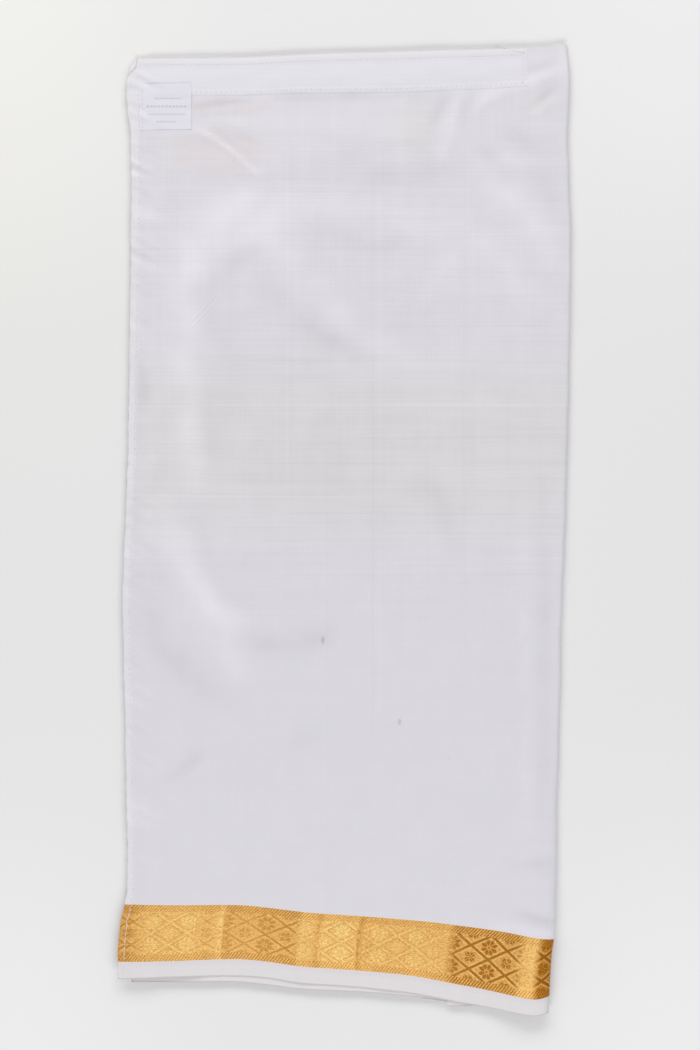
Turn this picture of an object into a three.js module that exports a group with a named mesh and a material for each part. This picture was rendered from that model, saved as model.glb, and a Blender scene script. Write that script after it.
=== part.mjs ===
// A ready-made child's dhoti cloth: fine white cotton with a gold zari border, folded flat.
//
// X runs across the folded cloth, from its free hemmed edge (-X) to its main fold (+X).
// Y runs along it, from the border at the foot (-Y) to the waist (+Y).
// Z is the height above the table, and the underside lies flat at zero.
// The front stretch turns round the main fold and meets the back stretch on the underside.
import * as THREE from "three";

// Driving sizes, in millimetres.
const WALL = 1.2;              // modelled thickness of one cloth wall
const GAP = 0.3;               // clearance between neighbouring pieces
const INNER_GAP = 0.6;         // clearance between the hidden layers and the walls round them
const TRIM_WALL = 1.0;         // modelled thickness of tape, hem and label
const STACK = 4.8;             // height of the folded stack over its plain field
const UNDER_LAP = 8;           // how far the front stretch runs on under the main fold
const HEAD_INSET = 1.2;        // the layers underneath stop this far inside the waist edge
const BACK_INSET = 0.8;        // the back stretch stops this far inside the hidden layers
const INNER_TAPER = 2;         // the hidden layers reach their full thickness this far from their fold
const END_SQUEEZE = 0.55;      // share of their thickness left at their rounded foot and head

const TAPE_INSET = 0.8;        // the waistband tape starts this far below the waist edge
const TAPE_END = 128.3;        // x where the waistband tape ends
const LABEL = { left: -141.6, right: -107.0, foot: 279.4, head: 311.4 };
const LABEL_RAMP = { start: 4, end: 1 };  // the label climbs onto the tape this far below its edge

// The roll at the main fold swells towards the foot.
const ROLL_SPREAD = 22;        // how far the swelling reaches into the cloth
// The free corner at the foot of the hem is lifted.
const CORNER = { x: -158.6, y: -314.6, lift: 3.2, reach: 42 };
// A long soft swelling, an arc that opens towards the foot, and two lobes by the hem.
const ARCH = { x: -52, y: 92, radius: 92, flatten: 0.6, width: 26, lift: 0.7, fade: 60 };
const LOBES = [
  { x: -138, y: -42, reachX: 16, reachY: 42, lift: 0.7 },
  { x: -104, y: -112, reachX: 26, reachY: 34, lift: 0.6 },
];

// How finely the walls are divided.
const COLUMNS = 17;            // across the front, from hem to the crest of the main fold
const FOLD_STEPS = 7;          // round the main fold
const FIELD_ROWS = 24;
const BORDER_ROWS = 4;
const SELVEDGE_ROWS = 2;
const INNER_COLUMNS = 14;
const INNER_END_STEPS = 4;     // round each end of the hidden layers
const BACK_COLUMNS = 8;
const HEM_COLUMNS = 2;
const TAPE_ROWS = 3;
const LABEL_ROWS = 8;
const LABEL_COLUMNS = 6;

// Edges that run across the cloth. "across" is 0 at the hem and 1 at the main fold. The others are
// heights up the cloth: foot edge, foot and head of the border, waist edge, and the foot of the
// layers underneath.
const ACROSS_EDGES = [
  { across: 0.00, foot: -314.6, borderFoot: -302.6, borderHead: -262.9, waist: 330.2, innerFoot: -317.2 },
  { across: 0.12, foot: -313.6, borderFoot: -302.3, borderHead: -263.3, waist: 330.5, innerFoot: -317.4 },
  { across: 0.27, foot: -313.2, borderFoot: -301.2, borderHead: -263.3, waist: 331.1, innerFoot: -317.6 },
  { across: 0.34, foot: -314.4, borderFoot: -302.7, borderHead: -265.3, waist: 332.2, innerFoot: -319.6 },
  { across: 0.42, foot: -318.2, borderFoot: -306.2, borderHead: -268.3, waist: 333.5, innerFoot: -322.6 },
  { across: 0.52, foot: -320.2, borderFoot: -308.4, borderHead: -270.4, waist: 334.3, innerFoot: -324.0 },
  { across: 0.65, foot: -324.0, borderFoot: -311.6, borderHead: -273.4, waist: 335.4, innerFoot: -326.6 },
  { across: 0.77, foot: -330.4, borderFoot: -317.8, borderHead: -277.3, waist: 336.4, innerFoot: -332.6 },
  { across: 0.88, foot: -336.2, borderFoot: -324.1, borderHead: -281.6, waist: 337.5, innerFoot: -336.4 },
  { across: 0.94, foot: -339.4, borderFoot: -327.4, borderHead: -284.6, waist: 338.2, innerFoot: -338.0 },
  { across: 0.97, foot: -340.2, borderFoot: -328.3, borderHead: -286.0, waist: 338.9, innerFoot: -338.0 },
  { across: 1.00, foot: -338.2, borderFoot: -326.5, borderHead: -286.8, waist: 340.2, innerFoot: -336.0 },
];

// The free edge, from foot to waist: where it runs, how wide its turned hem is, and how far inside
// it the fold of the layers underneath lies.
const HEM_SIDE = [
  { y: -318, x: -158.8, hem: 5.0, innerInset: 13.5 },
  { y: -302, x: -158.3, hem: 5.0, innerInset: 11.0 },
  { y: -288, x: -157.2, hem: 5.0, innerInset: 7.0 },
  { y: -275, x: -155.6, hem: 5.0, innerInset: 4.5 },
  { y: -263, x: -152.2, hem: 5.0, innerInset: 3.0 },
  { y: -232, x: -151.4, hem: 5.0, innerInset: 2.0 },
  { y: -197, x: -152.1, hem: 5.0, innerInset: 2.0 },
  { y: -127, x: -153.5, hem: 5.0, innerInset: 2.0 },
  { y: -57, x: -154.9, hem: 5.2, innerInset: 2.0 },
  { y: -22, x: -154.2, hem: 5.2, innerInset: 2.0 },
  { y: 31, x: -152.1, hem: 5.2, innerInset: 2.0 },
  { y: 83, x: -150.7, hem: 5.4, innerInset: 2.0 },
  { y: 206, x: -149.3, hem: 6.0, innerInset: 2.0 },
  { y: 276, x: -149.3, hem: 6.6, innerInset: 2.0 },
  { y: 293, x: -151.4, hem: 8.6, innerInset: 3.5 },
  { y: 310, x: -152.4, hem: 9.6, innerInset: 4.0 },
  { y: 322, x: -149.8, hem: 7.2, innerInset: 2.5 },
  { y: 331, x: -145.8, hem: 3.8, innerInset: 2.0 },
];

// The main fold, from foot to waist: where it runs, how far inside it the crest of the fold lies,
// and how much higher than the stack the crest rises.
const FOLD_SIDE = [
  { y: -339, x: 143.0, roll: 13.0, swell: 5.6 },
  { y: -327, x: 143.8, roll: 13.0, swell: 5.6 },
  { y: -302, x: 144.8, roll: 13.0, swell: 5.4 },
  { y: -287, x: 146.8, roll: 12.5, swell: 5.0 },
  { y: -249, x: 148.3, roll: 8.5, swell: 2.6 },
  { y: -197, x: 149.0, roll: 5.0, swell: 0.6 },
  { y: -127, x: 151.0, roll: 3.2, swell: 0.0 },
  { y: -57, x: 152.4, roll: 3.0, swell: 0.0 },
  { y: 13, x: 155.2, roll: 3.0, swell: 0.0 },
  { y: 83, x: 157.0, roll: 3.0, swell: 0.0 },
  { y: 153, x: 158.4, roll: 3.0, swell: 0.0 },
  { y: 206, x: 158.8, roll: 3.0, swell: 0.0 },
  { y: 276, x: 156.8, roll: 3.0, swell: 0.0 },
  { y: 311, x: 158.1, roll: 3.0, swell: 0.0 },
  { y: 341, x: 155.9, roll: 3.0, swell: 0.0 },
];

// Lower edge of the waistband tape: its depth below the waist edge, by place across.
const TAPE_DEPTHS = [
  { across: 0.0, depth: 27.2 },
  { across: 0.3, depth: 27.6 },
  { across: 0.6, depth: 29.4 },
  { across: 0.9, depth: 28.2 },
];

const { lerp, clamp, smoothstep } = THREE.MathUtils;

// Reads a column of a table between its rows, along a smooth curve through them.
function readTable(rows, keyName, place, column) {
  const last = rows.length - 1;
  let upper = 1;
  while (upper < last && rows[upper][keyName] < place) upper += 1;
  const low = rows[upper - 1];
  const high = rows[upper];
  const before = rows[Math.max(upper - 2, 0)];
  const after = rows[Math.min(upper + 1, last)];
  const span = high[keyName] - low[keyName];
  const share = clamp((place - low[keyName]) / span, 0, 1);
  const slopeLow = (high[column] - before[column]) / (high[keyName] - before[keyName]);
  const slopeHigh = (after[column] - low[column]) / (after[keyName] - low[keyName]);
  const square = share * share;
  const cube = square * share;
  return (2 * cube - 3 * square + 1) * low[column] + (cube - 2 * square + share) * span * slopeLow
    + (3 * square - 2 * cube) * high[column] + (cube - square) * span * slopeHigh;
}

const edgeHeight = (edge, across) => readTable(ACROSS_EDGES, "across", clamp(across, 0, 1), edge);
const hemSide = (y, column) => readTable(HEM_SIDE, "y", y, column);
const foldSide = (y, column) => readTable(FOLD_SIDE, "y", y, column);

// Shares from 0 to 1, in equal steps.
const steps = (count) => Array.from({ length: count + 1 }, (_, step) => step / count);

// A bell that is 1 at the middle and fades out over about two widths.
const bell = (distance, width) => Math.exp(-((distance / width) ** 2));

// Height of the stack's upper face, without and with the lifted corner.
function stackHeight(x, y) {
  const crestX = foldSide(y, "x") - foldSide(y, "roll");
  const swelling = foldSide(y, "swell") * bell(crestX - x, ROLL_SPREAD);
  const fromArch = Math.hypot(x - ARCH.x, (y - ARCH.y) * ARCH.flatten) - ARCH.radius;
  const arch = ARCH.lift * bell(fromArch, ARCH.width) * smoothstep(y, ARCH.y, ARCH.y + ARCH.fade);
  const lobes = LOBES.map((lobe) => (
    lobe.lift * bell(Math.hypot((x - lobe.x) / lobe.reachX, (y - lobe.y) / lobe.reachY), 1)
  ));
  return lobes.reduce((sum, lift) => sum + lift, STACK + swelling + arch);
}

function frontHeight(x, y) {
  const corner = CORNER.lift * bell(Math.hypot(x - CORNER.x, y - CORNER.y), CORNER.reach);
  return stackHeight(x, y) + corner;
}

// A row runs across the cloth from its hem to its main fold, at the heights given by place across.
function placeRow(heightAt) {
  const start = hemSide(heightAt(0), "x");
  const end = foldSide(heightAt(1), "x");
  const yAt = (x) => heightAt((x - start) / (end - start));
  return { heightAt, start, end, yAt };
}

// A row at a share of the way between two across edges, with a clearance kept from each.
function makeRow(lowEdge, highEdge, share, lowGap, highGap) {
  return placeRow((across) => lerp(
    edgeHeight(lowEdge, across) + lowGap,
    edgeHeight(highEdge, across) - highGap,
    share,
  ));
}

// Points of one row of the front stretch: over the top, round the main fold and a little way back
// underneath. "depth" is 0 for its outer face and WALL for its inner face.
function frontSection(row, depth) {
  const points = [];
  const roll = foldSide(row.heightAt(1), "roll");
  const crestX = row.end - roll;
  const crestHeight = frontHeight(crestX, row.yAt(crestX));
  for (let column = 0; column < COLUMNS; column += 1) {
    const x = lerp(row.start, crestX, column / COLUMNS);
    const y = row.yAt(x);
    points.push([x, y, frontHeight(x, y) - depth]);
  }
  for (let step = 0; step <= FOLD_STEPS; step += 1) {
    const angle = Math.PI * (0.5 - step / FOLD_STEPS);
    const x = crestX + (roll - depth) * Math.cos(angle);
    points.push([x, row.yAt(x), crestHeight / 2 + (crestHeight / 2 - depth) * Math.sin(angle)]);
  }
  const lapX = crestX - UNDER_LAP;
  points.push([lapX, row.yAt(lapX), depth]);
  return points;
}

// Joins an outer grid of points and its matching inner grid into one closed wall.
function wallGeometry(outer, inner) {
  const rows = outer.length;
  const columns = outer[0].length;
  const positions = [...outer.flat(), ...inner.flat()].flat();
  const triangles = [];
  const at = (side, row, column) => side * rows * columns + row * columns + column;
  const quad = (a, b, c, d) => triangles.push(a, b, c, a, c, d);
  for (let row = 0; row < rows - 1; row += 1) {
    for (let column = 0; column < columns - 1; column += 1) {
      quad(at(0, row, column), at(0, row, column + 1), at(0, row + 1, column + 1), at(0, row + 1, column));
      quad(at(1, row, column), at(1, row + 1, column), at(1, row + 1, column + 1), at(1, row, column + 1));
    }
  }
  for (let column = 0; column < columns - 1; column += 1) {
    const top = rows - 1;
    quad(at(0, 0, column), at(1, 0, column), at(1, 0, column + 1), at(0, 0, column + 1));
    quad(at(0, top, column), at(0, top, column + 1), at(1, top, column + 1), at(1, top, column));
  }
  for (let row = 0; row < rows - 1; row += 1) {
    const end = columns - 1;
    quad(at(0, row, 0), at(0, row + 1, 0), at(1, row + 1, 0), at(1, row, 0));
    quad(at(0, row, end), at(1, row, end), at(1, row + 1, end), at(0, row + 1, end));
  }
  return indexedGeometry(positions, triangles);
}

// Joins closed loops of points, one after another, and caps both ends.
function loftGeometry(loops) {
  const size = loops[0].length;
  const triangles = [];
  const quad = (a, b, c, d) => triangles.push(a, b, c, a, c, d);
  for (let loop = 0; loop < loops.length - 1; loop += 1) {
    for (let place = 0; place < size; place += 1) {
      const next = (place + 1) % size;
      const here = loop * size;
      quad(here + place, here + next, here + size + next, here + size + place);
    }
  }
  // A loop's upper run and lower run mirror each other, so a cap is a strip between them.
  const last = (loops.length - 1) * size;
  for (let place = 0; place < size / 2 - 1; place += 1) {
    const across = size - 1 - place;
    quad(place, across, across - 1, place + 1);
    quad(last + place, last + place + 1, last + across - 1, last + across);
  }
  return indexedGeometry(loops.flat(2), triangles);
}

function indexedGeometry(positions, triangles) {
  const geometry = new THREE.BufferGeometry();
  geometry.setAttribute("position", new THREE.Float32BufferAttribute(positions, 3));
  geometry.setIndex(triangles);
  geometry.computeVertexNormals();
  return geometry;
}

// Rows between two across edges, evenly spaced.
function rowsBetween(lowEdge, highEdge, count, lowGap, highGap) {
  return steps(count).map((share) => makeRow(lowEdge, highEdge, share, lowGap, highGap));
}

function frontWall(rows) {
  return wallGeometry(rows.map((row) => frontSection(row, 0)), rows.map((row) => frontSection(row, WALL)));
}

// One loop of the hidden layers: its upper run from the inner fold to the main fold, and back below.
function innerLoop(row, squeeze) {
  const innerDepth = WALL + INNER_GAP;
  const roll = foldSide(row.heightAt(1), "roll");
  const crestX = row.end - roll;
  const startX = row.start + hemSide(row.heightAt(0), "innerInset");
  const crestHeight = stackHeight(crestX, row.yAt(crestX));
  const upper = [];
  const lower = [];
  const addPair = (x, middle, half) => {
    const y = row.yAt(x);
    upper.push([x, y, middle + half * squeeze]);
    lower.push([x, y, middle - half * squeeze]);
  };
  const middleAt = (x) => stackHeight(x, row.yAt(x)) / 2;
  for (let step = 0; step < INNER_END_STEPS; step += 1) {
    const angle = (Math.PI / 2) * ((step + 0.5) / INNER_END_STEPS);
    const half = middleAt(startX) - innerDepth;
    addPair(startX + half * (1 - Math.cos(angle)), middleAt(startX), half * Math.sin(angle));
  }
  for (let column = 1; column <= INNER_COLUMNS; column += 1) {
    const x = lerp(startX + INNER_TAPER, crestX, column / INNER_COLUMNS);
    addPair(x, middleAt(x), middleAt(x) - innerDepth);
  }
  for (let step = 1; step <= INNER_END_STEPS; step += 1) {
    const angle = (Math.PI / 2) * (step / (INNER_END_STEPS + 0.5));
    const x = crestX + (roll - innerDepth) * Math.sin(angle);
    addPair(x, crestHeight / 2, (crestHeight / 2 - innerDepth) * Math.cos(angle));
  }
  return [...upper, ...lower.reverse()];
}

function innerLayersGeometry() {
  const rows = rowsBetween("innerFoot", "waist", FIELD_ROWS, 0, HEAD_INSET);
  const isEnd = (index) => index === 0 || index === rows.length - 1;
  return loftGeometry(rows.map((row, index) => innerLoop(row, isEnd(index) ? END_SQUEEZE : 1)));
}

// The flat back stretch lies on the table, from the inner fold to the lap of the front stretch.
function backWall(rows) {
  const sections = rows.map((row) => {
    const start = row.start + hemSide(row.heightAt(0), "innerInset") + BACK_INSET;
    const end = row.end - foldSide(row.heightAt(1), "roll") - UNDER_LAP - GAP;
    return steps(BACK_COLUMNS).map((share) => {
      const x = lerp(start, end, share);
      return [x, row.yAt(x)];
    });
  });
  const raised = (height) => sections.map((section) => section.map(([x, y]) => [x, y, height]));
  return wallGeometry(raised(WALL), raised(0));
}

// A strip of trim that lies on the front stretch: "startAt" and "endAt" give its sides for a row,
// and "liftAt" gives its clearance above the cloth by height up the cloth.
function trimWall(rows, columns, startAt, endAt, liftAt) {
  const sections = rows.map((row) => steps(columns).map((share) => {
    const x = lerp(startAt(row), endAt(row), share);
    const y = row.yAt(x);
    return [x, y, frontHeight(x, y) + liftAt(y)];
  }));
  const outer = sections.map((section) => section.map(([x, y, z]) => [x, y, z + TRIM_WALL]));
  return wallGeometry(outer, sections);
}

function hemWall(rows) {
  const hemEnd = (row) => row.start + hemSide(row.heightAt(0), "hem");
  return trimWall(rows, HEM_COLUMNS, (row) => row.start, hemEnd, () => GAP);
}

const tapeDepth = (across) => readTable(TAPE_DEPTHS, "across", clamp(across, 0, 0.9), "depth");

// Rows of the tape follow the waist edge, each a share of the tape's depth below it.
function tapeRows() {
  return steps(TAPE_ROWS).map((share) => placeRow((across) => (
    edgeHeight("waist", across) - lerp(tapeDepth(across), TAPE_INSET, share)
  )));
}

function waistbandGeometry() {
  const start = (row) => row.start + hemSide(row.heightAt(0), "hem") + GAP;
  return trimWall(tapeRows(), COLUMNS, start, () => TAPE_END, () => GAP);
}

// The label hangs over the lower part of the tape, so its head climbs onto it.
function labelGeometry() {
  const rows = steps(LABEL_ROWS).map((share) => ({ yAt: () => lerp(LABEL.foot, LABEL.head, share) }));
  const tapeFoot = edgeHeight("waist", 0) - tapeDepth(0);
  const lift = (y) => {
    const onTape = smoothstep(y, tapeFoot - LABEL_RAMP.start, tapeFoot - LABEL_RAMP.end);
    return GAP + onTape * (TRIM_WALL + GAP);
  };
  return trimWall(rows, LABEL_COLUMNS, () => LABEL.left, () => LABEL.right, lift);
}

// One material for each kind of cloth in the piece.
const cotton = () => new THREE.MeshStandardMaterial({ color: 0xe9e7ec, roughness: 0.85, metalness: 0 });
const zari = () => new THREE.MeshStandardMaterial({ color: 0xe0b065, roughness: 0.45, metalness: 0.5 });
const tape = () => new THREE.MeshStandardMaterial({ color: 0xefedf2, roughness: 0.8, metalness: 0 });
const satin = () => new THREE.MeshStandardMaterial({ color: 0xe8e8f4, roughness: 0.5, metalness: 0 });

// Rows of each stretch of the woven length. A seam's clearance is shared by the pieces beside it.
const SEAM = GAP / 2;
const fieldRows = rowsBetween("borderHead", "waist", FIELD_ROWS, SEAM, 0);
const borderRows = rowsBetween("borderFoot", "borderHead", BORDER_ROWS, SEAM, SEAM);
const selvedgeRows = rowsBetween("foot", "borderFoot", SELVEDGE_ROWS, 0, SEAM);
const backFieldRows = [...fieldRows.slice(0, -1), makeRow("borderHead", "waist", 1, SEAM, HEAD_INSET)];
const backSelvedgeRows = rowsBetween("innerFoot", "borderFoot", SELVEDGE_ROWS, BACK_INSET, SEAM);

// Every piece: its name, its shape and its material.
const PIECES = [
  ["front_panel", frontWall(fieldRows), cotton()],
  ["front_border", frontWall(borderRows), zari()],
  ["front_selvedge", frontWall(selvedgeRows), cotton()],
  ["side_hem", hemWall(fieldRows), cotton()],
  ["border_hem", hemWall(borderRows), zari()],
  ["selvedge_hem", hemWall(selvedgeRows), cotton()],
  ["waistband", waistbandGeometry(), tape()],
  ["size_label", labelGeometry(), satin()],
  ["inner_layers", innerLayersGeometry(), cotton()],
  ["back_panel", backWall(backFieldRows), cotton()],
  ["back_border", backWall(borderRows), zari()],
  ["back_selvedge", backWall(backSelvedgeRows), cotton()],
];

const dhoti = new THREE.Group();
for (const [name, geometry, material] of PIECES) {
  const piece = new THREE.Mesh(geometry, material);
  piece.name = name;
  dhoti.add(piece);
}

export default dhoti;
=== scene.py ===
"""Looks of a ready-made child's dhoti cloth: fine white cotton with a gold zari border, folded flat.

X runs across the folded cloth, from its hemmed free edge to its main fold. Y runs along it, from the
border at the foot to the waist. Z is the height above the table. Shapes are worked out in
millimetres and handed to Blender in metres.
"""
import math

import bpy
import numpy as np
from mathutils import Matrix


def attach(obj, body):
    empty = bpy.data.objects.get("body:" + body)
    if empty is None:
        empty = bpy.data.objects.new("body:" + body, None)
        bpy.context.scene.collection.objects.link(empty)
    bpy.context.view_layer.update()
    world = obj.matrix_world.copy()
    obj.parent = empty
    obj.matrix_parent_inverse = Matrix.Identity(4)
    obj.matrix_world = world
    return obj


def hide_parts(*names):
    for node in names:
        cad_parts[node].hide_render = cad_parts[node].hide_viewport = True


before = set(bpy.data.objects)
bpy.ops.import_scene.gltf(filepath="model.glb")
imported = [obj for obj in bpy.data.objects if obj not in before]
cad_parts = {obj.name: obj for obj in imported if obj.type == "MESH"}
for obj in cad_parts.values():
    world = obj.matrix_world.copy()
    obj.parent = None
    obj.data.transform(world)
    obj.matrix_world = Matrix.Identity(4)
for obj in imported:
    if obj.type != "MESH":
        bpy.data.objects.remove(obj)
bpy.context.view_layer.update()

MM = 0.001

# ---- driving sizes, in millimetres

CLOTH = 0.32            # one layer of cotton
TRIM = 0.5              # the tape over the cloth
HEM_THICKNESS = 0.3     # the turned hem
STACK = 4.8             # height of the folded stack over its plain field
UNDER_LAP = 8.0         # how far the front stretch runs on under the main fold
TAPE_INSET = 0.8        # the waistband tape starts this far below the waist edge
TAPE_END = 128.3        # x where the waistband tape ends
STITCH_PITCH = 3.5
LABEL = {"left": -143.4, "right": -107.0, "foot": 279.4, "head": 311.4}
ROLL_SPREAD = 22.0      # how far the swelling of the main fold reaches into the cloth
CORNER = {"x": -158.6, "y": -314.6, "lift": 3.2, "reach": 42.0}     # the raised corner at the foot


def table(names, *rows):
    """A table with named columns, a row for each station."""
    return dict(zip(names.split(), np.array(rows, float).T))


# Edges that run across the cloth: 0 at the hem, 1 at the main fold.
ACROSS_EDGES = table(
    "across  foot  border_foot border_head waist under_foot",
    (0.00, -314.6, -302.6, -262.9, 330.2, -317.2),
    (0.12, -313.6, -302.3, -263.3, 330.5, -317.4),
    (0.27, -313.2, -301.2, -263.3, 331.1, -317.6),
    (0.34, -314.4, -302.7, -265.3, 332.2, -319.6),
    (0.42, -318.2, -306.2, -268.3, 333.5, -322.6),
    (0.52, -320.2, -308.4, -270.4, 334.3, -324.0),
    (0.65, -324.0, -311.6, -273.4, 335.4, -326.6),
    (0.72, -327.4, -314.8, -275.4, 336.0, -329.4),
    (0.77, -330.4, -317.8, -277.3, 336.4, -331.6),
    (0.88, -336.2, -324.1, -281.6, 337.5, -335.0),
    (0.94, -339.4, -327.4, -284.6, 338.2, -338.0),
    (0.97, -340.2, -328.3, -286.0, 338.9, -338.0),
    (1.00, -338.2, -326.5, -286.8, 340.2, -336.0),
)
ACROSS_EDGES["waist_inside"] = ACROSS_EDGES["waist"] - 0.9      # the layers inside stop a little short

# The free edge: where it runs, the width of its turned hem, and how far inside it the fold of the
# layers underneath lies.
HEM_SIDE = table(
    "y  x  hem  inset",
    (-318, -158.8, 5.0, 9.5),
    (-302, -158.3, 5.0, 9.0),
    (-288, -157.4, 5.0, 7.0),
    (-275, -156.2, 5.0, 4.5),
    (-263, -153.6, 5.0, 3.0),
    (-250, -151.9, 5.0, 2.2),
    (-232, -151.4, 5.0, 2.0),
    (-197, -152.1, 5.0, 2.0),
    (-127, -153.5, 5.0, 2.0),
    (-57, -154.9, 5.2, 2.0),
    (-22, -154.2, 5.2, 2.0),
    (31, -152.1, 5.2, 2.0),
    (83, -150.7, 5.4, 2.0),
    (206, -149.3, 6.0, 2.0),
    (276, -149.3, 6.6, 2.0),
    (293, -151.4, 8.6, 3.5),
    (310, -152.4, 9.6, 4.0),
    (322, -149.8, 7.2, 2.5),
    (331, -145.8, 3.8, 2.0),
)

# The main fold: where it runs, how far inside it the crest lies, and how much the crest swells.
FOLD_SIDE = table(
    "y  x  roll  swell",
    (-339, 143.0, 13.0, 5.6),
    (-327, 143.8, 13.0, 5.6),
    (-302, 144.8, 13.0, 5.4),
    (-287, 146.8, 12.5, 5.0),
    (-249, 148.3, 8.5, 2.6),
    (-197, 149.0, 5.0, 0.6),
    (-127, 151.0, 3.2, 0.0),
    (-57, 152.4, 3.0, 0.0),
    (13, 155.2, 3.0, 0.0),
    (83, 157.0, 3.0, 0.0),
    (153, 158.4, 3.0, 0.0),
    (206, 158.8, 3.0, 0.0),
    (276, 156.8, 3.0, 0.0),
    (311, 158.1, 3.0, 0.0),
    (341, 155.9, 3.0, 0.0),
)

TAPE_DEPTHS = table("across depth", (0.0, 27.2), (0.3, 27.6), (0.6, 29.4), (0.9, 28.2))

# Folds and troughs of the front: lift (below zero for a trough), width, and the
# stations of its line.
CREASES = [
    # The broad middle, pressed a little flatter than its surroundings.
    (-0.3, 55, [(-10, 146), (-6, 60), (-3, -22)]),
    # The long arch over it: a broad left leg and a narrower right one, with a hollow inside.
    (1.2, 15, [(-110, 120), (-112, 157), (-106, 187), (-91, 209), (-69, 222), (-45, 226)]),
    (0.55, 12, [
        (-69, 225), (-31, 227), (4, 223), (39, 216), (74, 206), (102, 194), (119, 174), (130, 155),
    ]),
    (-0.6, 7, [(-93, 139), (-93, 167), (-77, 185), (-66, 192)]),
    (-0.5, 9, [(-24, 206), (11, 199), (53, 195)]),
    # The ridge that leaves the arch towards the middle.
    (0.7, 9, [(-66, 205), (-42, 188), (-20, 167), (4, 141), (32, 121), (55, 112)]),
    (-0.7, 8, [(-54, 165), (-22, 136), (6, 121)]),
    # The ridge that runs down beside the hem, with hollows on either side.
    (0.9, 11, [(-120, 115), (-109, 90), (-111, 62), (-102, 34)]),
    (-0.4, 6, [(-96, 97), (-93, 69), (-91, 47)]),
    (-0.8, 5, [(-143, 112), (-141, 97), (-141, 84)]),
    (-0.5, 6, [(-129, 48), (-136, 20)]),
    # The same ridge further down, where it bends towards the middle, and the hollows round it.
    (1.1, 12, [(-130, 12), (-115, -18), (-99, -50), (-83, -78), (-76, -97)]),
    (-0.5, 7, [(-104, 6), (-93, -22), (-83, -46)]),
    (0.5, 8, [(-97, -58), (-64, -64)]),
    (-0.6, 8, [(-87, -78), (-45, -81), (-3, -76)]),
    (-0.75, 10, [(-148, -41), (-129, -78), (-101, -106), (-82, -120)]),
    # Shallow waves and dents of the plain field.
    (-0.4, 9, [(-135, 248), (-112, 243)]),
    (-0.35, 12, [(-8, 262), (36, 252)]),
    (0.35, 10, [(-60, 256), (-20, 268)]),
    (-0.45, 12, [(-84, 150), (-80, 110), (-84, 70)]),
    (-0.7, 5, [(-122, -176), (-101, -157)]),
    (-0.35, 7, [(-45, -153), (-8, -139)]),
    # Broad waves below the waistband.
    (0.35, 10, [(-80, 279), (-10, 283), (53, 279)]),
    (-0.4, 11, [(-101, 246), (-31, 243), (53, 244), (137, 241)]),
    (-0.5, 4, [(-48, 300.5), (0, 301.5), (56, 303)]),
    # Ridges and troughs below the tape's end, towards the main fold.
    (-0.6, 4.5, [(73, 304), (67, 290), (62, 279)]),
    (0.8, 5, [(81, 303), (77, 290), (73, 273), (65, 255)]),
    (-0.6, 4, [(88, 299), (85, 290), (84, 278)]),
    (0.8, 4.6, [(92, 293), (100, 301), (112, 305), (129, 311), (145, 319), (154, 322)]),
    (-1.1, 3.2, [(134, 296), (144, 304), (154, 312)]),
    (0.6, 3.0, [(150, 306), (140, 296), (130, 290)]),
    (0.55, 2.2, [(153, 339), (154, 322), (155, 308)]),
    (-0.6, 3.5, [(128, 321), (140, 323), (151, 326)]),
    (-0.6, 7, [(114, 278), (128, 268), (135, 262)]),
    (0.7, 6, [(110, 259), (129, 255)]),
    (-0.5, 5, [(97, 264), (109, 255)]),
    (-0.45, 8, [(47, 267), (71, 249)]),
    (0.9, 9, [(95, 248), (129, 220), (150, 183)]),
    # The crest of the arch, and dents at its right end.
    (0.55, 13, [(-90, 214), (-62, 212), (-40, 203)]),
    (-0.5, 8, [(139, 244), (147, 220)]),
    (0.4, 5, [(58, 160), (81, 197)]),
    # Small folds above the right end of the border.
    (-0.9, 4.5, [(116, -236), (131, -233), (147, -231)]),
    (-1.0, 3.8, [(122, -268), (135, -271), (148, -274)]),
    (0.8, 4.5, [(104, -276), (125, -279), (149, -283)]),
    # A dent and a small fold in the right half.
    (-0.5, 7, [(53, 29), (67, 20), (78, -22)]),
    (0.3, 2.6, [(117, -45), (125, -58), (125, -72), (119, -80)]),
    # The lighter and darker bands of an older fold beside the main one.
    (0.3, 5, [(126, 50), (128, -100), (127, -235)]),
    (-0.5, 5, [(141, 34), (141, -100), (140, -240)]),
    # Sharp little folds beside the label.
    (1.0, 2.2, [(-107, 279), (-97, 276), (-79, 265), (-66, 253), (-58, 246)]),
    (-0.6, 2.2, [(-94, 279), (-84, 273), (-73, 264), (-62, 255)]),
    (-0.5, 2.4, [(-79, 275), (-60, 270)]),
    (0.6, 3.5, [(-91, 288), (-67, 282)]),
    (-0.8, 3, [(-107, 294), (-88, 297), (-66, 300)]),
    (-0.4, 2.4, [(-104, 289), (-73, 289)]),
    (0.5, 2.2, [(-85, 301), (-64, 303)]),
    # Pressed lines that cross the border.
    (-0.3, 2.4, [(-86, -250), (-86, -314)]),
    (-0.3, 2.6, [(-34, -262), (-33, -318)]),
    (-0.25, 2.4, [(9, -262), (9, -322)]),
    (0.35, 2.6, [(78, -268), (79, -332)]),
]


# ---- small helpers

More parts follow.
